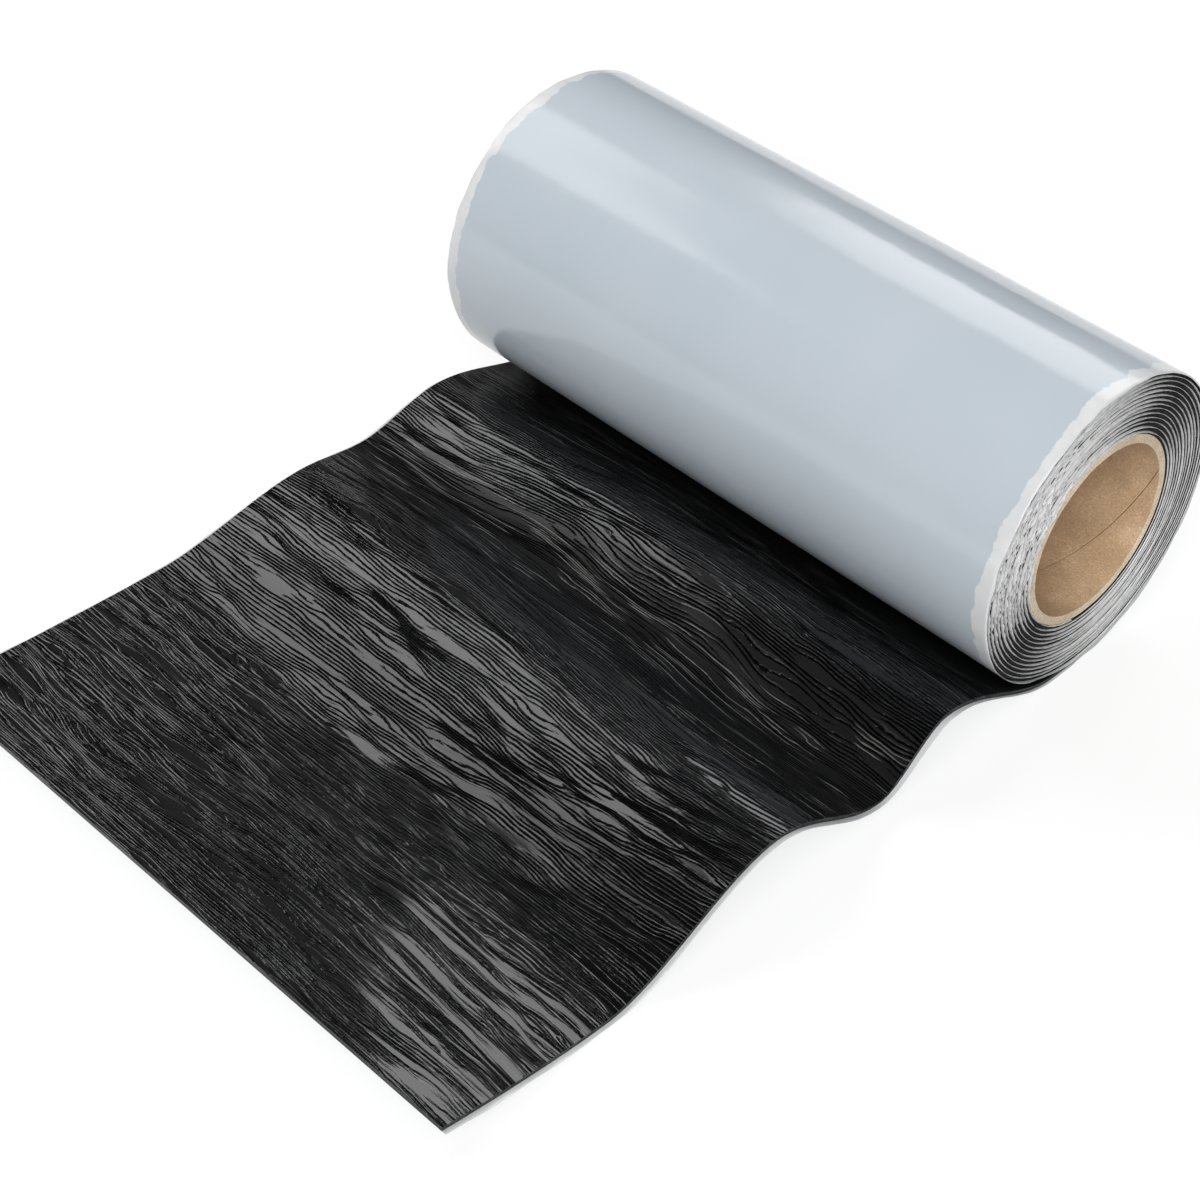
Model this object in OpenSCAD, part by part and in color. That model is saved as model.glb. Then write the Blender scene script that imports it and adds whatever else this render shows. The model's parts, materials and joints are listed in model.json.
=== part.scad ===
// Roll of lead-free flashing, partly unrolled.
// A black flexible flashing sheet with a pale release film on its back is wound
// on a cardboard core, film outwards. The free end leaves the bottom of the
// roll and lies in two slack waves on the floor, film side down.
//
// Frame: the origin is the middle of the core's bore, +X runs along the bore,
// the free end lies towards -Y, and +Z is up.

/* [Flashing] */
// Width of the flashing, along the roll
sheet_w = 300; // [150:10:600]
// Thickness of the flashing
sheet_t = 1.8; // [1.2:0.1:3]
// Turns of flashing on the core
turns = 14; // [4:1:24]

/* [Release film] */
// Thickness of the film
film_t = 0.15; // [0.1:0.05:0.3]
// How far the film stands out past each edge of the flashing
film_margin = 2.5; // [1:0.5:6]

/* [Core] */
// Bore of the cardboard core
core_bore = 76; // [50:1:120]
// Wall of the core
core_wall = 4; // [2:0.5:8]

/* [Ends of the roll] */
// Width of the groove between two turns
groove_w = 0.4; // [0.2:0.1:0.8]
// Depth of the groove between two turns
groove_d = 1.5; // [0.5:0.5:4]

/* [Unrolled end] */
// Length of floor from under the bore to the cut edge
tail_l = 343; // [285:1:600]
// Where the sheet leaves the floor, at the left and right edges
lift_at = [14, 14]; // [5:1:25]
// First crest: how far out, at the left and right edges
crest_1_at = [78, 84]; // [70:1:95]
// First crest: how high
crest_1_h = [14.5, 26.5]; // [2:0.5:30]
// Dip between the crests: how far out
dip_at = [122, 120]; // [110:1:135]
// Dip between the crests: how high
dip_h = [6, 5.5]; // [0:0.5:12]
// Second crest: how far out
crest_2_at = [157, 180]; // [145:1:195]
// Second crest: how high
crest_2_h = [10, 29.5]; // [2:0.5:35]
// Where the sheet is back on the floor: how far out
floor_at = [232, 264]; // [215:1:275]
// Cut edge: how far it curls up
edge_h = [6, 11]; // [0:0.5:20]

/* [Hidden] */
$fn = 96;
spiral_step = 3;        // degrees between two points of the winding
tail_step = 8;          // spacing of the points along the unrolled end
across_step = 50;       // spacing of the points across it
curl_power = 1.5;       // how the curl of the cut edge gathers
slope_span = 0.01;      // span over which a slope is measured
cut_over = 1;           // how far a cut runs past the surface it opens

pitch = sheet_t + film_t;
core_r = core_bore / 2 + core_wall;
coil_r = core_r + turns * pitch;
floor_z = -(coil_r + film_t);
film_w = sheet_w + 2 * film_margin;

// ---- winding ----

// Outer radius of the flashing's last turn, by degrees from the bottom
function coil_radius(a) = coil_r - pitch * (1 - a / 360);

// Points of the last turn, [y, z], at a distance outside the flashing
function turn_points(out) =
    [for (a = [0:spiral_step:360])
        let (r = coil_radius(a) + out) [-r * sin(a), -r * cos(a)]];

function reversed(list) = [for (i = [len(list) - 1:-1:0]) list[i]];

// The two triangles of a four-cornered face
function halves(a, b, c, d) = [[a, b, c], [a, c, d]];

// Turns a [y, z] section into a solid of width w along X
module along_x(w) {
    rotate([90, 0, 90])
        linear_extrude(height = w, center = true)
            children();
}

// Grooves that part the turns at one end of the roll, cut inwards from x = 0
module turn_grooves() {
    rotate([0, 90, 0])
        rotate_extrude()
            for (k = [1:turns - 1])
                translate([core_r + (k - 0.5) * pitch - groove_w / 2, -groove_d])
                    square([groove_w, groove_d + cut_over]);
}

// ---- unrolled end ----

// Value between the left and right edges at x
function across(pair, x) = pair[0] + (pair[1] - pair[0]) * (x / sheet_w + 0.5);

// Smooth step from 0 at a to 1 at b
function ramp(d, a, b) =
    let (u = max(0, min(1, (d - a) / (b - a)))) u * u * (3 - 2 * u);

// Height of the film's underside above the floor, at distance d out from the bore
function tail_height(d, x) =
    let (lift = across(lift_at, x), top_1 = across(crest_1_at, x), dip = across(dip_at, x),
         top_2 = across(crest_2_at, x), flat = across(floor_at, x),
         h_1 = across(crest_1_h, x), h_dip = across(dip_h, x), h_2 = across(crest_2_h, x))
    h_1 * ramp(d, lift, top_1)
    + (h_dip - h_1) * ramp(d, top_1, dip)
    + (h_2 - h_dip) * ramp(d, dip, top_2)
    - h_2 * ramp(d, top_2, flat)
    + across(edge_h, x) * pow(max(0, d - flat) / (tail_l - flat), curl_power);

// Point of the unrolled end, lifted off the film's underside along its normal
function tail_point(d, x, lift) =
    let (slope = (tail_height(d + slope_span, x) - tail_height(d - slope_span, x)) / (2 * slope_span),
         long = sqrt(1 + slope * slope))
    [x, -d + lift * slope / long, floor_z + tail_height(d, x) + lift / long];

// One layer of the unrolled end, between two lifts and the side edges at x = -half_w and half_w
module tail_layer(low, high, half_w) {
    edge = sheet_w / 2;
    fields = round(sheet_w / across_step);
    sheet_xs = [for (i = [0:fields]) -edge + i * sheet_w / fields];
    xs = half_w > edge ? concat([-half_w], sheet_xs, [half_w]) : sheet_xs;
    cols = len(xs) - 1;
    rows = round(tail_l / tail_step);
    layer = (rows + 1) * (cols + 1);
    function under(i, j) = i * (cols + 1) + j;
    function over(i, j) = layer + under(i, j);
    polyhedron(
        points = [for (lift = [low, high], i = [0:rows], x = xs) tail_point(i * tail_l / rows, x, lift)],
        faces = concat(
            [for (i = [0:rows - 1], j = [0:cols - 1])
                each halves(under(i, j), under(i + 1, j), under(i + 1, j + 1), under(i, j + 1))],
            [for (i = [0:rows - 1], j = [0:cols - 1])
                each halves(over(i, j), over(i, j + 1), over(i + 1, j + 1), over(i + 1, j))],
            [for (i = [0:rows - 1])
                each halves(under(i, 0), over(i, 0), over(i + 1, 0), under(i + 1, 0))],
            [for (i = [0:rows - 1])
                each halves(under(i, cols), under(i + 1, cols), over(i + 1, cols), over(i, cols))],
            [for (j = [0:cols - 1])
                each halves(under(0, j), under(0, j + 1), over(0, j + 1), over(0, j))],
            [for (j = [0:cols - 1])
                each halves(under(rows, j), over(rows, j), over(rows, j + 1), under(rows, j + 1))]));
}

// ---- the three pieces ----

// Cardboard core, as long as the flashing is wide
module core_tube() {
    color("#c8a982")
        rotate([0, 90, 0])
            difference() {
                cylinder(h = sheet_w, r = core_r, center = true);
                cylinder(h = sheet_w + 2 * cut_over, d = core_bore, center = true);
            }
}

// The wound turns as one solid, and the unrolled end that runs on from them
module flashing() {
    color("#1d1d1f") {
        difference() {
            along_x(sheet_w) polygon(turn_points(0));
            along_x(sheet_w + 2 * cut_over) circle(r = core_r);
            for (end = [0, 1])
                mirror([end, 0, 0])
                    translate([sheet_w / 2, 0, 0])
                        turn_grooves();
        }
        tail_layer(film_t, film_t + sheet_t, sheet_w / 2);
    }
}

// Film round the outside of the last turn, then under the unrolled end
module release_film() {
    color("#c3ccd4") {
        along_x(film_w) polygon(concat(turn_points(0), reversed(turn_points(film_t))));
        tail_layer(0, film_t, film_w / 2);
    }
}

core_tube();
flashing();
release_film();
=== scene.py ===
import json
import math

import bmesh
import bpy
import numpy as np
from mathutils import Matrix, Vector


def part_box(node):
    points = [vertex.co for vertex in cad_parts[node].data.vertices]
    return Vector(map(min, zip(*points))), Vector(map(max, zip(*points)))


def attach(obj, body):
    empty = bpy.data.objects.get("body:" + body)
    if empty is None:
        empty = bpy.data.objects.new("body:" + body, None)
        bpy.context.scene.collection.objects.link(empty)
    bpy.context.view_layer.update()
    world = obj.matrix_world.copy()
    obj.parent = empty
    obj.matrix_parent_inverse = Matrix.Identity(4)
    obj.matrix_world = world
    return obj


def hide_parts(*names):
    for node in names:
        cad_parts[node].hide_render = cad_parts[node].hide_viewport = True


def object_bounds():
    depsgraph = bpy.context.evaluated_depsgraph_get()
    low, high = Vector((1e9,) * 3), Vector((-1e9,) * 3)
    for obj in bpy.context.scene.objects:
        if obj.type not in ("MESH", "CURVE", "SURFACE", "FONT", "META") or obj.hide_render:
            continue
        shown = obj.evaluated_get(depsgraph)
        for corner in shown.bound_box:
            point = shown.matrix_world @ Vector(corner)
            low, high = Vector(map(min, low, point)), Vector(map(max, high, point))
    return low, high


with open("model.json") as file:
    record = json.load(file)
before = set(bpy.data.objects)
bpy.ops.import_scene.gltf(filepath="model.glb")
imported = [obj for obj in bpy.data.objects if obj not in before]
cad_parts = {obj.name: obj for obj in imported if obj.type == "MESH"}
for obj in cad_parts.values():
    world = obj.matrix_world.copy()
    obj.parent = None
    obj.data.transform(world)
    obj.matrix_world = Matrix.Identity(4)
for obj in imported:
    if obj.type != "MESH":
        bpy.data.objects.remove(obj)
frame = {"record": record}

cad_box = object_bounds()


# ---- Camera ----
# It stands beyond the free end's right corner and looks down across the sheet
# at the roll, so that the right end of the roll and its core show.
object_middle = (cad_box[0] + cad_box[1]) / 2
look_at = object_middle + Vector((0.0369, -0.0219, -0.0089))
camera_azimuth = math.radians(45.454)
camera_elevation = math.radians(42.458)
camera_roll = math.radians(0.336)
camera_distance = 0.99244                       # metres

back = Vector((math.sin(camera_azimuth) * math.cos(camera_elevation),
               -math.cos(camera_azimuth) * math.cos(camera_elevation),
               math.sin(camera_elevation)))
level_right = Vector((math.cos(camera_azimuth), math.sin(camera_azimuth), 0))
level_up = back.cross(level_right)
right = level_right * math.cos(camera_roll) + level_up * math.sin(camera_roll)
up = level_up * math.cos(camera_roll) - level_right * math.sin(camera_roll)

camera_data = bpy.data.cameras.new("camera")
camera_data.sensor_width = 36                   # mm
camera_data.lens = 78.26                        # mm
camera_data.clip_start = 0.02
camera_data.clip_end = 60
camera = bpy.data.objects.new("camera", camera_data)
facing = Matrix((right, up, back)).transposed().to_4x4()
camera.matrix_world = Matrix.Translation(look_at + back * camera_distance) @ facing
bpy.context.scene.collection.objects.link(camera)
bpy.context.scene.camera = camera


# ---- Cardboard core ----
# A spirally wound tube of kraft paper, cut off square; the first turn of
# flashing sticks to its outside. The butt joint of its inner ply shows as a
# thin dark line that winds along the bore, and its cut ends show the plies.
core_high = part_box("core_tube")[1]
core_half = core_high.x * 1000                  # mm, half the length
core_r = core_high.z * 1000                     # mm, outer radius
bore_r = next(m for m in frame["record"]["mounts"] if m["name"] == "core_bore")["dims"]["r_mm"]
joint_at = 254.0                                # degrees from the bottom, at the right end
joint_lead = 4.02                               # degrees further round for each mm to the left
# The joint's section: mm to the side, mm deep
joint_gap = ((-1.2, 0.0), (-0.46, 0.02), (-0.2, 0.3), (0.2, 0.3), (0.46, 0.0), (1.2, 0.0))
core_columns = 132                              # round the tube, from one side of the joint to the other
wall_rows = 124                                 # along the bore
outer_rows = 62                                 # along the outside
ply_count = 8
rows_a_ply = 3
ply_groove = 0.16                               # mm, depth of the line between two plies
wall_stop = 0.5                                 # mm from the cut end, where the bore's edge starts to round
edge_x, edge_r = 0.14, 0.1                      # mm in from the cut end and out from the bore, on that edge
ring_in, ring_out = 0.35, 0.3                   # mm from the bore and the outside, the cut end's flat
outer_stop = 0.3                                # mm from the cut end, where the outside stops
tube_end_in, tube_side_in = 0.02, 0.04          # mm inside the CAD's tube, at its ends and outside


def soft_noise(rng, u, v, cell_u, cell_v):
    """A smooth random height over u and v, with its bumps about one cell apart."""
    i = u / cell_u
    j = v / cell_v
    i = i - np.floor(i.min()) + 1
    j = j - np.floor(j.min()) + 1
    knots = rng.standard_normal((int(i.max()) + 4, int(j.max()) + 4))
    i0 = np.floor(i).astype(int)
    j0 = np.floor(j).astype(int)

    def weights(t):
        return ((1 - t) ** 3 / 6, (3 * t ** 3 - 6 * t ** 2 + 4) / 6,
                (-3 * t ** 3 + 3 * t ** 2 + 3 * t + 1) / 6, t ** 3 / 6)

    total = np.zeros(np.broadcast(u, v).shape)
    for m, wu in enumerate(weights(i - i0)):
        for n, wv in enumerate(weights(j - j0)):
            total += wu * wv * knots[i0 + m - 1, j0 + n - 1]
    return total


def round_the_bore(x, degrees, radius):
    """Points at a radius, by degrees from the bottom going up the side of the free end."""
    turned = np.radians(degrees)
    return np.stack(np.broadcast_arrays(x, -radius * np.sin(turned), -radius * np.cos(turned)), -1)


def grid_faces(ids):
    """Four-cornered faces between the neighbours in a grid of vertex numbers."""
    return np.stack([ids[:-1, :-1], ids[:-1, 1:], ids[1:, 1:], ids[1:, :-1]], -1).reshape(-1, 4)


def wrapped(ids, axis):
    """The grid with its first row or column repeated at the end, so that it closes."""
    return np.concatenate([ids, ids.take([0], axis)], axis)


def make_piece(name, points_mm, faces, finishes, finish_of=None, sharp=40, marks=None):
    """A mesh piece from points in millimetres: doubled points joined, faces turned outwards,
    smooth shaded up to this many degrees. Its marks are numbers at the points, for a material."""
    mesh = bpy.data.meshes.new(name)
    mesh.from_pydata((points_mm.reshape(-1, 3) / 1000).tolist(), [], [list(map(int, f)) for f in faces])
    for mark, values in (marks or {}).items():
        mesh.attributes.new(mark, "FLOAT", "POINT").data.foreach_set("value", values.astype(np.float32))
    for finish in finishes:
        mesh.materials.append(finish)
    if finish_of is not None:
        mesh.polygons.foreach_set("material_index", finish_of)
    built = bmesh.new()
    built.from_mesh(mesh)
    bmesh.ops.remove_doubles(built, verts=built.verts, dist=1e-6)
    bmesh.ops.recalc_face_normals(built, faces=built.faces)
    built.to_mesh(mesh)
    built.free()
    mesh.shade_smooth()
    mesh.set_sharp_from_angle(angle=math.radians(sharp))
    piece = bpy.data.objects.new(name, mesh)
    bpy.context.scene.collection.objects.link(piece)
    return piece


def new_finish(name, colour, roughness):
    """A material, its node maker, its link maker and its shader."""
    finish = bpy.data.materials.new(name)
    finish.use_nodes = True
    tree = finish.node_tree
    shader = tree.nodes["Principled BSDF"]
    shader.inputs["Base Color"].default_value = (*colour, 1)
    shader.inputs["Roughness"].default_value = roughness
    return finish, tree.nodes, tree.links, shader


def add_noise(nodes, links, stretch, detail=2.0, distortion=0.0):
    """Noise over the piece's own shape, with this many bumps in a metre along X, Y and Z."""
    place = nodes.new("ShaderNodeTexCoord")
    scaled = nodes.new("ShaderNodeMapping")
    scaled.inputs["Scale"].default_value = stretch
    noise = nodes.new("ShaderNodeTexNoise")
    noise.inputs["Scale"].default_value = 1
    noise.inputs["Detail"].default_value = detail
    noise.inputs["Distortion"].default_value = distortion
    links.new(place.outputs["Object"], scaled.inputs["Vector"])
    links.new(scaled.outputs["Vector"], noise.inputs["Vector"])
    return noise.outputs["Fac"]


def add_ramp(nodes, links, fac, stops):
    """Colours by a value: stops are (position, (r, g, b)) or (position, grey)."""
    ramp = nodes.new("ShaderNodeValToRGB")
    ramp.color_ramp.elements.remove(ramp.color_ramp.elements[0])
    for number, (position, tone) in enumerate(stops):
        element = ramp.color_ramp.elements[0] if number == 0 else ramp.color_ramp.elements.new(position)
        element.position = position
        element.color = (*tone, 1) if isinstance(tone, tuple) else (tone, tone, tone, 1)
    links.new(fac, ramp.inputs["Fac"])
    return ramp.outputs["Color"]


def add_mix(nodes, links, fac, low, high, blend="MIX"):
    """Two colours mixed by a value or a socket."""
    mix = nodes.new("ShaderNodeMix")
    mix.data_type = "RGBA"
    mix.blend_type = blend
    for socket, value in ((mix.inputs["Factor"], fac), (mix.inputs["A"], low), (mix.inputs["B"], high)):
        if isinstance(value, bpy.types.NodeSocket):
            links.new(value, socket)
        else:
            socket.default_value = value if isinstance(value, float) else (*value, 1)
    return mix.outputs["Result"]


def add_bump(nodes, links, shader, height, distance):
    """Fine relief for a shader, this many metres high where the height is 1."""
    bump = nodes.new("ShaderNodeBump")
    bump.inputs["Distance"].default_value = distance
    bump.inputs["Strength"].default_value = 1.0
    links.new(height, bump.inputs["Height"])
    links.new(bump.outputs["Normal"], shader.inputs["Normal"])


def vertex_mark(nodes, mark):
    """The socket of a number kept at the mesh's points."""
    node = nodes.new("ShaderNodeAttribute")
    node.attribute_name = mark
    return node.outputs["Fac"]


def paper_finish(name, dark, middle, pale, grain):
    """Unbleached board: a mottled ground with dark and pale fibres, darker in its joint."""
    finish, nodes, links, shader = new_finish(name, middle, 0.85)
    clouds = add_noise(nodes, links, (60, 60, 60), 3)
    ground = add_ramp(nodes, links, clouds, ((0.35, dark), (0.55, middle), (0.75, pale)))
    flecks = add_noise(nodes, links, grain, 3, 0.4)
    tone = add_ramp(nodes, links, flecks, ((0.32, 0.72), (0.4, 0.93), (0.56, 1.0), (0.64, 1.22)))
    mottled = add_mix(nodes, links, 1.0, ground, tone, "MULTIPLY")
    in_joint = add_ramp(nodes, links, vertex_mark(nodes, "joint"), ((0.2, 1.0), (0.8, 0.2)))
    links.new(add_mix(nodes, links, 1.0, mottled, in_joint, "MULTIPLY"), shader.inputs["Base Color"])
    links.new(add_ramp(nodes, links, clouds, ((0.3, 0.78), (0.7, 0.92))), shader.inputs["Roughness"])
    shader.inputs["Specular IOR Level"].default_value = 0.2
    add_bump(nodes, links, shader, flecks, 0.00012)
    return finish


kraft_wall = paper_finish("kraft_wall", (0.565, 0.39, 0.235), (0.66, 0.465, 0.29), (0.755, 0.56, 0.37),
                          (1100, 1600, 1600))
cut_board = paper_finish("cut_board", (0.74, 0.61, 0.46), (0.82, 0.70, 0.55), (0.88, 0.78, 0.64),
                         (1300, 1300, 1300))

rng = np.random.default_rng(11)
joint_columns = np.degrees(np.array([g[0] for g in joint_gap]) / bore_r)
joint_depths = np.array([g[1] for g in joint_gap])
plain_columns = np.linspace(joint_columns[-1], 360 + joint_columns[0], core_columns)[1:-1]
column_at = np.concatenate([joint_columns, plain_columns])
joint_depth = np.concatenate([joint_depths, np.zeros(len(plain_columns))])

# The tube's section as a closed loop: the bore, the right end, the outside, the left end
wall_x = np.linspace(-core_half + wall_stop, core_half - wall_stop, wall_rows)
ring_r = np.linspace(bore_r + ring_in, core_r - ring_out, rows_a_ply * ply_count + 1)
ply_relief = np.where(np.arange(len(ring_r)) % rows_a_ply == 0, ply_groove, 0.0)
outer_x = np.linspace(-core_half + outer_stop, core_half - outer_stop, outer_rows)
loop_x = np.concatenate([wall_x, [core_half - edge_x], core_half - tube_end_in - ply_relief,
                         outer_x[::-1], ply_relief + tube_end_in - core_half, [edge_x - core_half]])
loop_r = np.concatenate([np.full(len(wall_x), bore_r), [bore_r + edge_r], ring_r,
                         np.full(len(outer_x), core_r - tube_side_in), ring_r[::-1], [bore_r + edge_r]])
on_wall = np.arange(len(loop_x)) < len(wall_x)
on_ring = np.zeros(len(loop_x), bool)
on_ring[len(wall_x):len(wall_x) + len(ring_r) + 1] = True
on_ring[len(wall_x) + len(ring_r) + 1 + len(outer_x):] = True

X, A = np.meshgrid(loop_x, column_at, indexing="ij")
angle = joint_at + joint_lead * (core_half - X) + A
R = np.repeat(loop_r[:, None], len(column_at), 1)
# Shallow waves in the bore's wall and fuzz on the cut ends, in mm
wall_waves = 0.05 + 0.05 * soft_noise(rng, X, A, 14, 9) + 0.03 * soft_noise(rng, X, A, 4, 4)
R += np.where(on_wall[:, None], np.maximum(wall_waves, 0) + joint_depth, 0)
burr = 0.07 * np.abs(soft_noise(rng, R, A, 0.6, 2.5)) + 0.08 * np.abs(soft_noise(rng, R, A, 2.0, 12))
X = X - np.where(on_ring[:, None], np.sign(X) * burr, 0)
core_ids = np.arange(X.size).reshape(X.shape)
core_faces = grid_faces(wrapped(wrapped(core_ids, 0), 1))
face_row = np.repeat(np.arange(len(loop_x)), len(column_at))
in_joint = np.where(on_wall[:, None], joint_depth / joint_depths.max(), 0.0)
core = make_piece("cardboard_core", round_the_bore(X, angle, R), core_faces, [kraft_wall, cut_board],
                  np.where(on_ring[face_row], 1, 0), marks={"joint": in_joint.ravel()})
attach(core, "root")
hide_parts("core_tube")


# ---- Wound turns ----
# Fourteen turns of black flashing, wound tight on the core. Only their cut
# edges show, at both ends of the roll: soft butyl, slightly rounded, with the
# groove between two turns where the release film comes out.
sheet_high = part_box("flashing")[1]
film_low, film_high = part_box("release_film")
sheet_half = sheet_high.x * 1000                # mm, half the width
floor_z = film_low.z * 1000                     # mm
film_t = 0.15                                   # mm
sheet_t = 1.8                                   # mm
turns = 14
pitch = sheet_t + film_t
coil_r = core_r + turns * pitch                 # mm, outside of the last turn
# A turn's cut edge: part of the pitch out from its inside, mm deep
edge_profile = ((0.0, 1.5), (0.07, 0.55), (0.14, 0.2), (0.34, 0.04), (0.62, 0.0), (0.82, 0.12),
                (0.94, 0.4), (0.985, 1.3))
steps_round = 180
start_depth = 0.3                               # mm, where the first turn starts
start_part = 5                                  # its edge takes shape in this part of a turn: a fifth
tight_at, tight_span = 305, 45                  # degrees from the bottom, where the turns lie tightest
tight_most = 0.9
tight_corner = 0.75                             # part of the pitch from which the outer corner counts
edge_in = 0.12                                  # mm, the edges' least distance inside the CAD's ends
wander_most = 2                                 # mm, deepest that an edge lies
under_film = 0.03                               # mm, how far the last turn stays inside the film
degrees_a_radian = 57.3
own_wander = 431.0                              # mm, sets each turn's wander apart from the next one's


def close_to(value, place, span):
    """1 at a place, falling smoothly to about a third at this span from it."""
    return np.exp(-((value - place) / span) ** 2)


butyl_edge, nodes, links, shader = new_finish("butyl_edge", (0.012, 0.012, 0.013), 0.42)
smears = add_noise(nodes, links, (350, 350, 350), 3, 0.5)
butyl_tone = add_ramp(nodes, links, smears, ((0.35, 0.004), (0.6, 0.008), (0.75, 0.018)))
links.new(butyl_tone, shader.inputs["Base Color"])
links.new(add_ramp(nodes, links, smears, ((0.3, 0.35), (0.7, 0.6))), shader.inputs["Roughness"])
shader.inputs["Specular IOR Level"].default_value = 0.04
add_bump(nodes, links, shader, smears, 0.00015)

samples = len(edge_profile)
levels = turns * samples + 1
level_no = np.arange(levels)
part_of_turn = np.array([p[0] for p in edge_profile])[level_no % samples]
groove = np.array([p[1] for p in edge_profile])[level_no % samples]
turn_no = level_no // samples
degrees_round = np.linspace(0, 360, steps_round + 1)
J, D = np.meshgrid(level_no, degrees_round, indexing="ij")
wound = D / 360
turns_out = np.where(turn_no[J] == 0, part_of_turn[J] * wound, turn_no[J] - 1 + part_of_turn[J] + wound)
radius = core_r + pitch * turns_out
opened = np.clip(wound * start_part, 0, 1)
depth = np.where(turn_no[J] == 0, start_depth + (groove[J] - start_depth) * opened, groove[J])
tight = tight_most * close_to((D + 180 - tight_at) % 360, 180, tight_span)
depth *= np.where(part_of_turn[J] > tight_corner, 1 - tight, 1)
radius = np.where(J == levels - 1, core_r + pitch * (turns - 1 + wound), radius)

# After a full turn each level meets the same level one turn further out
end_ids = np.arange(levels * steps_round).reshape(levels, steps_round)
extra_ids = levels * steps_round + np.arange(samples)
closing = np.concatenate([end_ids[samples:, 0], extra_ids])
end_ids = np.concatenate([end_ids, closing[:, None]], 1)
end_size = levels * steps_round + samples

turn_points = []
for side in (-1, 1):
    rng = np.random.default_rng(20 + side)
    along = D * radius / degrees_a_radian + turn_no[J] * own_wander
    wander = 0.22 * soft_noise(rng, along, J * 1.0, 22, 9) + 0.10 * soft_noise(rng, along, J * 1.0, 5, 5)
    deep = np.clip(depth + np.abs(wander) * (1 - 0.7 * tight), 0, wander_most)
    x = side * (sheet_half - edge_in - deep)
    grid = round_the_bore(x, D, radius - under_film * (J == levels - 1))
    turn_points.append(np.concatenate([grid[:, :-1].reshape(-1, 3), grid[levels - samples:, -1]]))
left_ids, right_ids = end_ids, end_ids + end_size
around = [grid_faces(left_ids), grid_faces(right_ids)]
for row in (0, levels - 1):
    around.append(grid_faces(np.stack([left_ids[row], right_ids[row]])))
nip_step = slice(levels - samples - 1, levels)
around.append(grid_faces(np.stack([left_ids[nip_step, -1], right_ids[nip_step, -1]])))
wound_turns = make_piece("wound_turns", np.concatenate(turn_points), np.concatenate(around), [butyl_edge])
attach(wound_turns, "root")
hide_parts("flashing")


# ---- Film edges between the turns ----
# The release film is wider than the flashing, so a thin whitish lip of it
# stands out between the turns at both ends: wavy, nicked and bent over.
film_half = film_high.x * 1000                  # mm, half the width
lip_start = 12.0                                # degrees of winding before the first lip shows
lip_step = 0.85                                 # mm along the lip
fray_from, fray_to = 55, 170                    # degrees from the bottom, where the lip is frayed
fray_step = 0.5                                 # part of the step that is used there
fray_at, fray_span = 112, 45                    # degrees, where it frays most, and over how many
lip_levels = (0.0, 0.45, 0.8, 1.0)              # from its root between the turns to its free edge
lip_root = 1.3                                  # mm, how deep between the turns it starts
lip_t = 0.16                                    # mm at the root
lip_thins = 0.35                                # part of that lost at the free edge
lip_reach = 0.27                                # mm past the flashing, usually
# Where it stands out more or less: mm, degrees from the bottom, and over how many degrees
lip_longer = ((0.5, 72, 32), (0.2, fray_at, fray_span), (0.42, 200, 26), (-0.14, 305, 42))
least_reach, reach_in = 0.04, 0.08              # mm, and mm inside the CAD film's edge
lip_leans = (-0.3, 0.6)                         # mm inwards and outwards at the free edge, at most
lean_power = 1.7
lip_down = 0.03                                 # mm, how far it is sunk into the turn under it

lip_film, nodes, links, shader = new_finish("lip_film", (0.78, 0.79, 0.80), 0.28)
cloudy = add_noise(nodes, links, (260, 260, 260), 2)
lip_tone = add_ramp(nodes, links, cloudy, ((0.3, 0.78), (0.5, 0.9), (0.7, 0.95)))
links.new(lip_tone, shader.inputs["Base Color"])
links.new(add_ramp(nodes, links, cloudy, ((0.3, 0.2), (0.7, 0.38))), shader.inputs["Roughness"])
add_bump(nodes, links, shader, cloudy, 0.0001)

angles = [lip_start]
while angles[-1] < 360 * (turns - 1):
    step = lip_step * (fray_step if fray_from < angles[-1] % 360 < fray_to else 1)
    angles.append(angles[-1] + math.degrees(step / (core_r + pitch * angles[-1] / 360)))
angles[-1] = 360.0 * (turns - 1)
winding = np.array(angles)
lip_r = core_r + pitch * winding / 360
lip_along = np.cumsum(np.gradient(winding) * np.radians(1) * lip_r)
turned = winding % 360
frayed = close_to(turned, fray_at, fray_span)
across_end = (lip_r * np.sin(np.radians(winding)), lip_r * np.cos(np.radians(winding)))


def waves_along(rng, cell):
    """A smooth random height along the lip, with its bumps about this many mm apart."""
    return soft_noise(rng, lip_along, np.zeros_like(lip_along), cell, 1)


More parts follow.
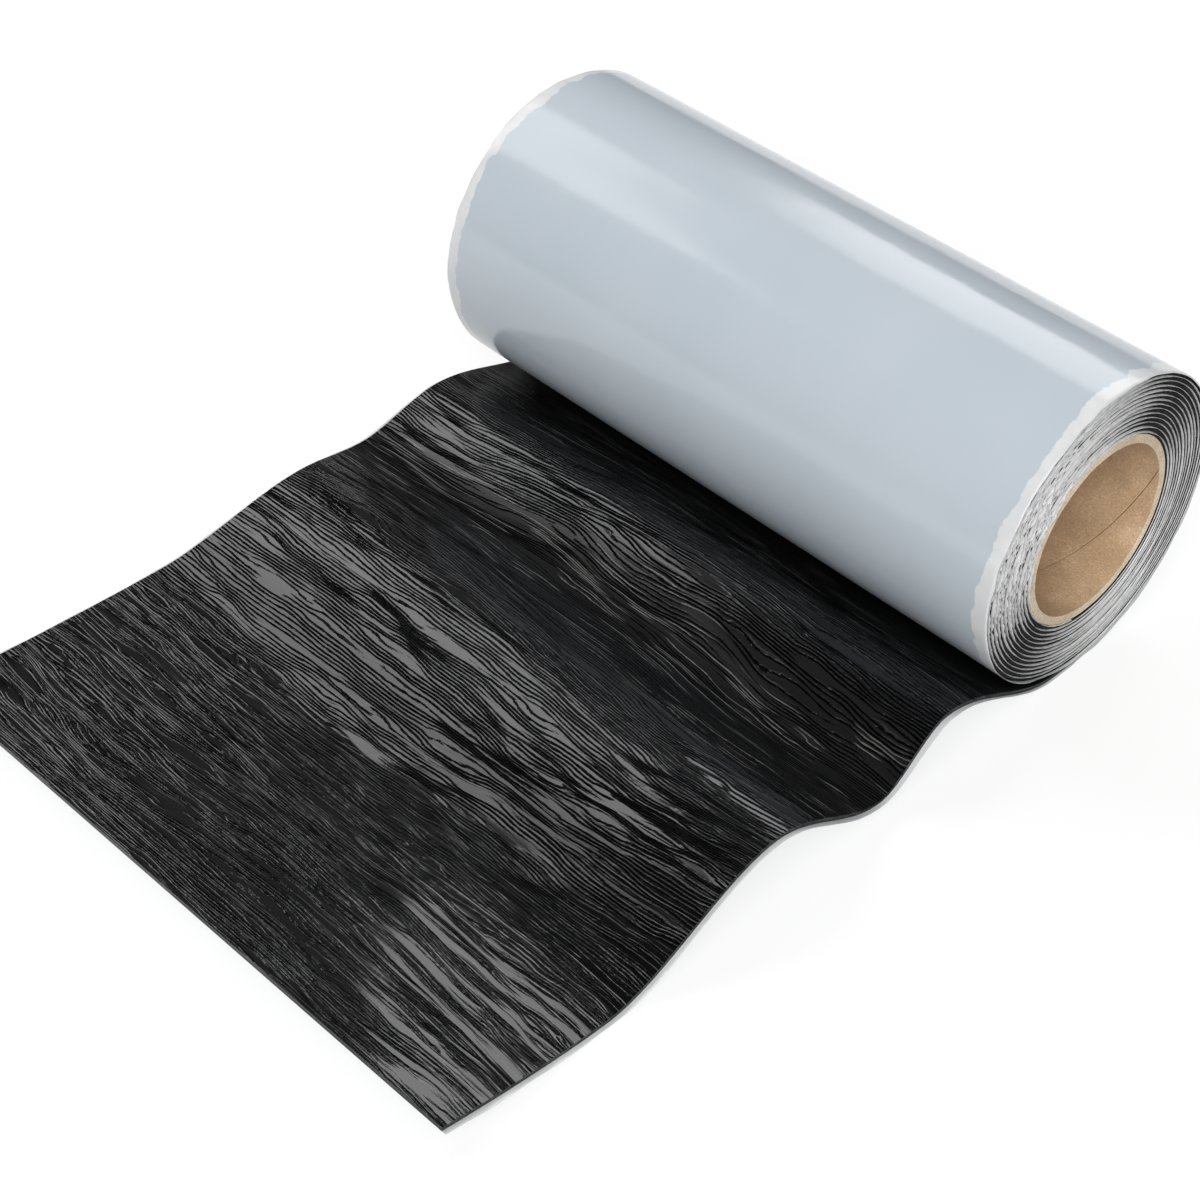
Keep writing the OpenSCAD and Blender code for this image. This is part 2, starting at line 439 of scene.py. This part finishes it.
for side, side_name in ((-1, "left"), (1, "right")):
    rng = np.random.default_rng(30 + side)
    reach = lip_reach
    for longer, place, span in lip_longer:
        reach = reach + longer * close_to(turned, place, span)
    reach = (reach + 0.08 * soft_noise(rng, *across_end, 12, 12) + 0.28 * waves_along(rng, 42)
             + (0.05 + 0.4 * frayed) * waves_along(rng, 2.0)
             + (0.03 + 0.45 * frayed) * waves_along(rng, 0.85))
    reach = np.clip(reach, least_reach, film_half - sheet_half - reach_in)
    lean = (0.02 + 0.22 * waves_along(rng, 34) + 0.12 * waves_along(rng, 6)
            + 0.25 * frayed * waves_along(rng, 1.1))
    lean = np.clip(lean, *lip_leans)
    rows = []
    for level in lip_levels + lip_levels[::-1]:
        outside = len(rows) < len(lip_levels)
        x = sheet_half - lip_root + (reach + lip_root) * level
        thick = lip_t * (1 - lip_thins * level) if outside else 0
        r = lip_r + lean * level ** lean_power + thick - lip_down
        rows.append(round_the_bore(side * x, winding, r))
    lip_points = np.stack(rows)
    ids = np.arange(lip_points.shape[0] * lip_points.shape[1]).reshape(lip_points.shape[:2])
    lip_faces = [list(f) for f in grid_faces(wrapped(ids, 0))]
    lip_faces += [list(ids[:, 0]), list(ids[::-1, -1])]
    lip = make_piece("film_lip_" + side_name, lip_points, lip_faces, [lip_film], sharp=60)
    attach(lip, "root")


# ---- Unrolled end of the flashing ----
# The free end leaves the bottom of the roll and lies in two slack waves. Its
# black face is a thin glossy skin on soft butyl: it has shrunk into flat
# facets, parted by fine creases that run along the roll.
tail_l = -film_low.y * 1000                     # mm of floor, from under the bore to the cut edge
# The waves at the left and right edges: mm from under the bore, and mm high
lift_at = (14, 14)
crest_1_at, crest_1_h = (78, 84), (14.5, 26.5)
dip_at, dip_h = (122, 120), (6, 5.5)
crest_2_at, crest_2_h = (157, 180), (10, 29.5)
floor_at, edge_h = (232, 264), (6, 11)
curl_power = 1.5                                # how the curl of the cut edge gathers
slope_span = 0.01                               # mm, to either side of where a slope is measured
crease_rows = 750
crease_columns = 124
near_l = 50                                     # mm under the roll, with one row for each mm
crease_gap = 1.35                               # mm, usual spacing of the creases
crease_wander = ((1.5, 45, 8), (0.5, 22, 2.8), (0.25, 11, 1.7))    # creases, over mm along and across
crease_h = 0.10                                 # mm
crease_w = 0.5                                  # mm, half a crease's width
crease_foot = 0.52                              # mm from a crease to the foot of its fine relief
flat_share = 0.7                                # how much wider the spacing is at a flat
flat_rows = 16                                  # rows to either side over which that evens out
pulled_at = ((88, 26), (198, 38))               # mm out and over a span: the creases are deeper there
drifts = ((6.0, 90, 40), (1.6, 34, 14), (0.7, 16, 6), (0.35, 8, 3))    # mm, over mm along and across
glint_line_gap = 0.32                                 # creases from a crease to the painted glint line beside it
under_rows = 87
under_columns = 11
under_in = 0.02                                 # mm between the underside and the film


def across(pair, x):
    """Value between the left and right edges at x."""
    return pair[0] + (pair[1] - pair[0]) * (x / (2 * sheet_half) + 0.5)


def ramp(d, a, b):
    """Smooth step from 0 at a to 1 at b."""
    u = np.clip((d - a) / (b - a), 0, 1)
    return u * u * (3 - 2 * u)


def tail_height(d, x):
    """Height of the film's underside above the floor, at distance d out from the bore."""
    top_1, dip, top_2, flat = (across(p, x) for p in (crest_1_at, dip_at, crest_2_at, floor_at))
    h_1, h_dip, h_2 = (across(p, x) for p in (crest_1_h, dip_h, crest_2_h))
    return (h_1 * ramp(d, across(lift_at, x), top_1) + (h_dip - h_1) * ramp(d, top_1, dip)
            + (h_2 - h_dip) * ramp(d, dip, top_2) - h_2 * ramp(d, top_2, flat)
            + across(edge_h, x) * (np.maximum(0, d - flat) / (tail_l - flat)) ** curl_power)


def tail_points(d, x, lift):
    """Points of the free end, lifted off the film's underside along its normal."""
    slope = (tail_height(d + slope_span, x) - tail_height(d - slope_span, x)) / (2 * slope_span)
    long = np.sqrt(1 + slope * slope)
    y = -d + lift * slope / long
    z = floor_z + tail_height(d, x) + lift / long
    return np.stack(np.broadcast_arrays(x, y, z), -1)


def running_mean(values, span):
    """Each column's mean over this many rows to either side."""
    padded = np.pad(values, ((span, span), (0, 0)), mode="edge")
    total = np.cumsum(padded, axis=0)
    return (total[2 * span:] - total[:-2 * span]) / (2 * span)


def crease_pattern(x, row, d):
    """A count that rises by one from crease to crease, how fast it rises for each millimetre,
    and how strong the creases are: they run along X and part round lens-shaped flats."""
    rng = np.random.default_rng(7)
    count = row / crease_gap
    for shift, cell_x, cell_row in crease_wander:
        count = count + shift * soft_noise(rng, x, row, cell_x, cell_row)
    flats = ramp(soft_noise(rng, x, row, 17, 2.3), 0.2, 0.55)
    opened = -flat_share * np.cumsum(flats * np.gradient(row, axis=0), axis=0) / crease_gap
    count += opened - running_mean(opened, flat_rows)
    along_d = np.gradient(count, row[:, 0], axis=0)
    along_x = np.gradient(count, x[0], axis=1)
    slant = np.abs(along_x) / np.maximum(np.abs(along_d), 0.05)
    per_mm = along_d / np.maximum(np.gradient(d, row[:, 0], axis=0), 0.2)
    steep = np.hypot(per_mm, along_x - per_mm * np.gradient(d, x[0], axis=1)) + 0.02
    pulled = sum(close_to(row, place, span) for place, span in pulled_at)
    # They fade where they are far apart, where they slant, under the roll and in the dip
    strength = np.clip(steep / 0.2, 0, 1) * (1 - ramp(slant, 0.2, 0.6)) * ramp(row, 30, 75)
    strength *= np.clip(0.85 + 0.45 * pulled + 1.6 * soft_noise(rng, x, count, 18, 0.75), 0, 1.3)
    strength *= 1 - 0.4 * close_to(row, 128, 24)
    return count, steep, strength


def cut_squares(ids, height):
    """Each square of a grid cut in two along the diagonal whose ends are closer in height."""
    a, b, c, d = ids[:-1, :-1], ids[:-1, 1:], ids[1:, 1:], ids[1:, :-1]
    ha, hb, hc, hd = height[:-1, :-1], height[:-1, 1:], height[1:, 1:], height[1:, :-1]
    first = (np.abs(ha - hc) <= np.abs(hb - hd))[..., None]
    one = np.where(first, np.stack([a, b, c], -1), np.stack([a, b, d], -1))
    two = np.where(first, np.stack([a, c, d], -1), np.stack([b, c, d], -1))
    return np.concatenate([one.reshape(-1, 3), two.reshape(-1, 3)])


def zipped(ids_a, at_a, ids_b, at_b):
    """Triangles between two rows of vertices with different spacing."""
    faces, i, j = [], 0, 0
    while i < len(ids_a) - 1 or j < len(ids_b) - 1:
        if j == len(ids_b) - 1 or (i < len(ids_a) - 1 and at_a[i + 1] <= at_b[j + 1]):
            faces.append([ids_a[i], ids_a[i + 1], ids_b[j]])
            i += 1
        else:
            faces.append([ids_a[i], ids_b[j + 1], ids_b[j]])
            j += 1
    return faces


def add_math(nodes, links, operation, *values):
    """The result of one step of arithmetic on numbers or sockets."""
    node = nodes.new("ShaderNodeMath")
    node.operation = operation
    for socket, value in zip(node.inputs, values):
        if isinstance(value, (int, float)):
            socket.default_value = value
        else:
            links.new(value, socket)
    return node.outputs[0]


black_skin, nodes, links, shader = new_finish("black_skin", (0.005, 0.005, 0.0052), 0.06)
patches = add_noise(nodes, links, (9, 30, 30), 3)
ground = add_ramp(nodes, links, patches, ((0.3, (0.0038, 0.0038, 0.004)), (0.7, (0.0058, 0.0058, 0.006))))
# How far a point is from the nearest crease, first in creases and then in mm
ragged = add_math(nodes, links, "MULTIPLY", add_noise(nodes, links, (240, 1300, 600), 2), 0.45)
ragged = add_math(nodes, links, "ADD", vertex_mark(nodes, "count"), ragged)
to_crease = add_math(nodes, links, "PINGPONG", ragged, 0.5)
mm_off = add_math(nodes, links, "DIVIDE", to_crease, vertex_mark(nodes, "steep"))
flank = nodes.new("ShaderNodeMapRange")
flank.interpolation_type = "SMOOTHSTEP"
flank.inputs["From Min"].default_value = 0.0
flank.inputs["From Max"].default_value = crease_foot
flank.inputs["To Min"].default_value = 1.0
flank.inputs["To Max"].default_value = 0.0
links.new(mm_off, flank.inputs["Value"])
crease_top = add_math(nodes, links, "MULTIPLY", flank.outputs["Result"], vertex_mark(nodes, "strength"))
# Painted shade: at the core of each crease the skin is coloured near black and loses most of its shine,
# standing in for the shade that falls in the crease
in_shade = add_math(nodes, links, "MULTIPLY", flank.outputs["Result"], vertex_mark(nodes, "shade"))
in_shade = add_ramp(nodes, links, in_shade, ((0.18, 0.0), (0.42, 1.0), (1.0, 1.0)))
# Painted sheen: the pale mark makes the ground paler on the slope past the first crest and in the dip
ground = add_mix(nodes, links, 1.0, ground, vertex_mark(nodes, "pale"), "MULTIPLY")
# Painted glint: a thin pale line along one side of some creases, standing in for the light their edges catch
beside = add_math(nodes, links, "PINGPONG", add_math(nodes, links, "ADD", ragged, glint_line_gap), 0.5)
beside = add_math(nodes, links, "DIVIDE", beside, vertex_mark(nodes, "steep"))
edge_line = add_ramp(nodes, links, beside, ((0.12, 1.0), (0.24, 0.0)))
edge_line = add_math(nodes, links, "MULTIPLY", edge_line, vertex_mark(nodes, "edge_line"))
crease_painted_shade = add_mix(nodes, links, in_shade, ground, (0.0015, 0.0015, 0.0015))
links.new(add_mix(nodes, links, edge_line, crease_painted_shade, (0.17, 0.168, 0.162)), shader.inputs["Base Color"])
lit = add_ramp(nodes, links, in_shade, ((0.0, 1.0), (0.9, 0.12)))
shine = add_math(nodes, links, "MULTIPLY", lit, vertex_mark(nodes, "gloss"))
links.new(shine, shader.inputs["Specular IOR Level"])
less_gloss = add_math(nodes, links, "SUBTRACT", 0.5, vertex_mark(nodes, "gloss"))
dull = add_math(nodes, links, "MULTIPLY", less_gloss, 0.8)
uneven = add_ramp(nodes, links, patches, ((0.3, 0.04), (0.7, 0.07)))
links.new(add_math(nodes, links, "ADD", uneven, dull), shader.inputs["Roughness"])
add_bump(nodes, links, shader, crease_top, 0.00022)

near_rows = np.linspace(0, near_l, near_l + 1)
far_rows = np.linspace(near_l, tail_l, crease_rows - near_l)
row_at = np.concatenate([near_rows, far_rows[1:]])
column_x = np.linspace(-sheet_half, sheet_half, crease_columns)
X, row = np.meshgrid(column_x, row_at)
rng = np.random.default_rng(8)
drift = sum(shift * soft_noise(rng, X, row, cell_x, cell_row) for shift, cell_x, cell_row in drifts)
drift *= ramp(row, 5, 40) * (1 - ramp(row, tail_l - 30, tail_l))
D = np.maximum.accumulate(row + drift, axis=0)
count, steep, strength = crease_pattern(X, row, D)
off_crease = np.abs(count - np.round(count)) / steep
# The skin is duller under the roll, in the dip and past the second crest. Its colour is paler on the slope
# past the first crest and in the dip: painted sheen, standing in for the light those slopes catch
gloss = (0.5 - 0.34 * (1 - ramp(row, 50, 82)) - 0.45 * close_to(row, 122, 17)
         - 0.1 * close_to(row, 216, 12))
pale = 1 + 2.2 * close_to(row, 95, 12) + 1.2 * close_to(row, 128, 20)
# How strongly the painted crease shade shows at each point: less towards the cut edge
shade = strength * (1 - 0.5 * ramp(row, 222, 250))
# The painted glint lines show by the roll, in the dip and on the flat towards the cut edge
glint_lines_by_roll = ramp(row, 30, 60) * (1 - ramp(row, 66, 84))
glint_lines_in_dip = ramp(row, 92, 108) * (1 - ramp(row, 142, 160))
glint_lines_shown = glint_lines_by_roll * 0.5 + glint_lines_in_dip + 0.35 * ramp(row, 205, 225)
rng = np.random.default_rng(11)
edge_line = glint_lines_shown * np.clip(3.2 * (soft_noise(rng, X, count, 12, 0.6) - 0.28), 0, 1)
relief = crease_h * strength * close_to(off_crease, 0, crease_w) * (1 - ramp(steep, 0.8, 1.2))
rng = np.random.default_rng(9)
relief += 0.02 * soft_noise(rng, X, row, 50, 8)
relief -= relief.mean()
top = tail_points(D, X, film_t + sheet_t + relief)
top[-1, :, 1] = np.maximum(top[-1, :, 1], -tail_l)      # the cut edge stays inside the CAD's
under_d = np.linspace(0, tail_l, under_rows)
under_x = np.linspace(-sheet_half, sheet_half, under_columns)
UX, UD = np.meshgrid(under_x, under_d)
under = tail_points(UD, UX, film_t + under_in)
top_ids = np.arange(top.shape[0] * top.shape[1]).reshape(top.shape[:2])
under_ids = top_ids.size + np.arange(UX.size).reshape(UX.shape)
skin_faces = cut_squares(top_ids, relief).tolist()
skin_faces += grid_faces(under_ids).tolist()
for edge in (0, -1):
    skin_faces += zipped(top_ids[:, edge], D[:, edge], under_ids[:, edge], under_d)
    skin_faces += zipped(top_ids[edge], column_x, under_ids[edge], under_x)
# What the skin's material reads: each mark on the top, and its one value on the underside
skin_marks = (("count", count, 0), ("steep", steep, 1), ("strength", strength, 0), ("shade", shade, 0),
              ("pale", pale, 1), ("edge_line", edge_line, 0), ("gloss", gloss, 0.3))
free_end = make_piece("unrolled_end", np.concatenate([top.reshape(-1, 3), under.reshape(-1, 3)]),
                      skin_faces, [black_skin], sharp=70,
                      marks={mark: np.concatenate([values.ravel(), np.full(UX.size, float(below))])
                             for mark, values, below in skin_marks})
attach(free_end, "root")
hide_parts("flashing")


# ---- Release film ----
# One skin of pale glossy plastic round the last turn and on under the free end.
# Past the edges of the flashing it hangs free: there it is whitish, and wavy.
film_gap = 0.02                                 # mm between the film and the flashing
# The dents near the right end: both ends of each, in mm along X and degrees from the bottom
film_dents = (((136, 142), (121, 140)), ((136, 142), (140, 138)), ((136, 142), (145, 146)),
              ((141, 163), (147, 160)), ((144, 170), (149, 167)))
dent_deep = 0.1                                 # mm
dent_wide = 1.6                                 # mm, half the width
most_drop = 0.13                                # mm, deepest that slack and dents go
roll_steps = 216
tail_steps = 120
edge_columns = np.array([0, 0.8, 1.6, 2.5, 3.6])    # mm in from the film's edge
plain_from, dense_from, dense_to = 5.5, 114, 5  # mm: in from the left edge, along X, in from the right edge
plain_count, dense_count = 76, 24
side_apart = 50                                 # sets the two sides' noise apart
narrow_margin = 0.75                            # mm of film past the flashing, where the free end starts

pale_film, nodes, links, shader = new_finish("pale_film", (0.53, 0.60, 0.65), 0.15)
place = nodes.new("ShaderNodeTexCoord")
split = nodes.new("ShaderNodeSeparateXYZ")
links.new(place.outputs["Object"], split.inputs["Vector"])
# The whitish margin begins about 5 mm inside the flashing's edge, along a ragged line
from_middle = add_math(nodes, links, "ABSOLUTE", split.outputs["X"])
ragged = add_noise(nodes, links, (25, 25, 25), 2)
nicked = add_noise(nodes, links, (110, 110, 110), 4)
ragged_x = add_math(nodes, links, "MULTIPLY_ADD", ragged, 0.014, from_middle)
ragged_x = add_math(nodes, links, "MULTIPLY_ADD", nicked, 0.007, ragged_x)
margin = nodes.new("ShaderNodeMapRange")
margin.inputs["From Min"].default_value = 0.1553
margin.inputs["From Max"].default_value = 0.1559
links.new(ragged_x, margin.inputs["Value"])
tint = add_noise(nodes, links, (14, 14, 14), 2)
body_tone = add_ramp(nodes, links, tint, ((0.3, (0.545, 0.61, 0.665)), (0.7, (0.575, 0.635, 0.69))))
edge_tone = add_ramp(nodes, links, nicked, ((0.3, (0.72, 0.74, 0.75)), (0.7, (0.82, 0.83, 0.83))))
links.new(add_mix(nodes, links, margin.outputs["Result"], body_tone, edge_tone), shader.inputs["Base Color"])
shader.inputs["Specular IOR Level"].default_value = 0.4
links.new(add_ramp(nodes, links, tint, ((0.3, 0.12), (0.7, 0.19))), shader.inputs["Roughness"])
wrinkles = add_noise(nodes, links, (30, 60, 60), 2, 0.3)
add_bump(nodes, links, shader, wrinkles, 0.0002)

film_x = np.concatenate([-film_half + edge_columns,
                         np.linspace(-film_half + plain_from, dense_from, plain_count)[:-1],
                         np.linspace(dense_from, film_half - dense_to, dense_count),
                         film_half - edge_columns[::-1]])
rng = np.random.default_rng(41)
roll_deg = np.linspace(0, 360, roll_steps + 1)
X, D = np.meshgrid(film_x, roll_deg)
past_edge = np.clip((np.abs(X) - sheet_half) / (film_half - sheet_half), 0, 1)
end_side = np.sign(X) * side_apart
arc = D * coil_r * np.radians(1)                # mm round the roll
free = np.sin(np.radians(D / 2)) ** 0.5         # none at the nip, full on top
slack = np.abs(0.05 * soft_noise(rng, X, arc, 45, 60) + 0.035 * soft_noise(rng, X, arc, 18, 30)) * free
dent = np.zeros_like(X)
for (x_1, turned_1), (x_2, turned_2) in film_dents:
    along = np.array([x_2 - x_1, (turned_2 - turned_1) * np.radians(1) * coil_r])
    off = np.stack([X - x_1, (D - turned_1) * np.radians(1) * coil_r], -1)
    share = np.clip(off @ along / (along @ along), 0, 1)
    beside = np.linalg.norm(off - share[..., None] * along, axis=-1)
    dent = np.maximum(dent, dent_deep * close_to(beside, 0, dent_wide))
turn_r = coil_r - pitch * (1 - D / 360)
# How far the margin stands out past the flashing and how far it curls in, in mm
stands_out = np.clip(0.75 + 0.35 * soft_noise(rng, end_side, arc, 40, 12)
                     + 0.25 * soft_noise(rng, end_side, arc, 40, 4), 0.3, 1.3)
curled_in = np.clip(0.45 + 0.4 * soft_noise(rng, end_side, arc, 40, 22)
                    + 0.25 * soft_noise(rng, end_side, arc, 40, 6), 0.1, 1.0) * free
roll_x = np.where(past_edge > 0, np.sign(X) * (sheet_half + stands_out * past_edge), X)
drop = np.minimum(slack + dent, most_drop) + curled_in * past_edge ** 1.6
outer_roll = round_the_bore(roll_x, D, turn_r + film_t - drop)
inner_roll = round_the_bore(roll_x, D, turn_r + film_gap - drop)

tail_d = np.linspace(0, tail_l, tail_steps + 1)[1:]
X, D = np.meshgrid(film_x, tail_d)
past_edge = np.clip((np.abs(X) - sheet_half) / (film_half - sheet_half), 0, 1)
end_side = np.sign(X) * side_apart
lip_wave = (0.35 * soft_noise(rng, end_side, D, 40, 16)
            + 0.2 * soft_noise(rng, end_side, D, 40, 5)) * past_edge
nick = 0.3 + 0.4 * soft_noise(rng, end_side, D, 40, 14)
widening = (film_half - sheet_half - narrow_margin) * ramp(D, 0, 90)
margin_wide = narrow_margin + widening - np.clip(nick, 0, 0.8) * ramp(D, 20, 60)
tail_x = np.where(past_edge > 0, np.sign(X) * (sheet_half + margin_wide * past_edge), X)
above = np.abs(lip_wave) * ramp(D, 5, 40)
outer_tail = tail_points(D, tail_x, above)
inner_tail = tail_points(D, tail_x, above + film_t - film_gap)
outer = np.concatenate([outer_roll, outer_tail])
inner = np.concatenate([inner_roll, inner_tail])
outer_ids = np.arange(outer.shape[0] * outer.shape[1]).reshape(outer.shape[:2])
inner_ids = outer_ids + outer_ids.size
film_faces = [grid_faces(outer_ids), grid_faces(inner_ids)]
for edge in (0, -1):
    film_faces.append(grid_faces(np.stack([outer_ids[edge], inner_ids[edge]])))
    film_faces.append(grid_faces(np.stack([outer_ids[:, edge], inner_ids[:, edge]])))
film = make_piece("release_film_skin", np.concatenate([outer.reshape(-1, 3), inner.reshape(-1, 3)]),
                  np.concatenate(film_faces), [pale_film], sharp=50)
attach(film, "root")
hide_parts("release_film")


# ---- Studio ----
# A pale floor that is seen white, as the background is, and dark walls that keep
# the black sheet's reflections dark. Soft boxes stand behind the roll and at its
# left end, a faint one between them, and broad lamps at the front and back right.
floor_gap = 0.0001                              # metres under the film
floor_half = 3                                  # metres
wall_r = 9                                      # metres
lamp_distance = 4.0                             # metres

floor_level = cad_box[0].z - floor_gap
floor_corners = [(x * floor_half, y * floor_half, floor_level)
                 for x, y in ((-1, -1), (1, -1), (1, 1), (-1, 1))]
floor_mesh = bpy.data.meshes.new("floor")
floor_mesh.from_pydata(floor_corners, [], [(0, 1, 2, 3)])
floor = bpy.data.objects.new("floor", floor_mesh)
bpy.context.scene.collection.objects.link(floor)
white_floor, nodes, links, shader = new_finish("white_floor", (0.62, 0.62, 0.62), 0.9)
shader.inputs["Specular IOR Level"].default_value = 0.0
seen = nodes.new("ShaderNodeLightPath")
glow = nodes.new("ShaderNodeEmission")
glow.inputs["Strength"].default_value = 0.75
faint = nodes.new("ShaderNodeBsdfDiffuse")
faint.inputs["Color"].default_value = (0.3, 0.3, 0.3, 1)
bright = nodes.new("ShaderNodeAddShader")
links.new(glow.outputs[0], bright.inputs[0])
links.new(faint.outputs[0], bright.inputs[1])
chosen = nodes.new("ShaderNodeMixShader")
seen_white = add_math(nodes, links, "MAXIMUM", seen.outputs["Is Camera Ray"], seen.outputs["Is Glossy Ray"])
seen_white = add_math(nodes, links, "MAXIMUM", seen_white, seen.outputs["Is Transmission Ray"])
links.new(seen_white, chosen.inputs["Fac"])
links.new(shader.outputs[0], chosen.inputs[1])
links.new(bright.outputs[0], chosen.inputs[2])
links.new(chosen.outputs[0], nodes["Material Output"].inputs["Surface"])
floor_mesh.materials.append(white_floor)

walls_mesh = bpy.data.meshes.new("studio_walls")
shell = bmesh.new()
bmesh.ops.create_icosphere(shell, subdivisions=4, radius=wall_r)
bmesh.ops.reverse_faces(shell, faces=shell.faces)
shell.to_mesh(walls_mesh)
shell.free()
walls = bpy.data.objects.new("studio_walls", walls_mesh)
bpy.context.scene.collection.objects.link(walls)
walls.visible_camera = False
wall_paint, nodes, links, shader = new_finish("wall_paint", (0.14, 0.14, 0.145), 0.9)
walls_mesh.materials.append(wall_paint)

world = bpy.data.worlds.new("studio")
world.use_nodes = True
world.node_tree.nodes["Background"].inputs["Color"].default_value = (1, 1, 1, 1)
world.node_tree.nodes["Background"].inputs["Strength"].default_value = 1.0
bpy.context.scene.world = world


def add_soft_box(name, azimuth, elevation, wide, high, brightness, tilt=0):
    """A lamp that faces the roll: how many degrees round from the free end's side and up it
    stands, how many it covers, how bright its face is, and how far it is turned."""
    az = math.radians(azimuth)
    el = math.radians(elevation)
    toward = Vector((math.sin(az) * math.cos(el), -math.cos(az) * math.cos(el), math.sin(el)))
    lamp = bpy.data.lights.new(name, "AREA")
    lamp.shape = "RECTANGLE"
    lamp.size = 2 * lamp_distance * math.tan(math.radians(wide / 2))
    lamp.size_y = 2 * lamp_distance * math.tan(math.radians(high / 2))
    lamp.energy = brightness * math.pi * lamp.size * lamp.size_y
    placed = bpy.data.objects.new(name, lamp)
    placed.matrix_world = (Matrix.Translation(object_middle + toward * lamp_distance)
                           @ toward.to_track_quat("Z", "Y").to_matrix().to_4x4()
                           @ Matrix.Rotation(math.radians(tilt), 4, "Z"))
    placed.visible_camera = False
    bpy.context.scene.collection.objects.link(placed)


add_soft_box("box_behind", -157, 37, 27, 27, 3.7, -14)
add_soft_box("box_left", -87, 42, 36, 24, 3.9)
add_soft_box("box_between", -127, 40, 13, 34, 0.19)
add_soft_box("key_lamp", 36, 40, 46, 46, 4.35)
add_soft_box("fill_lamp", 140, 38, 36, 36, 0.8)

bpy.context.scene.view_settings.view_transform = "Standard"
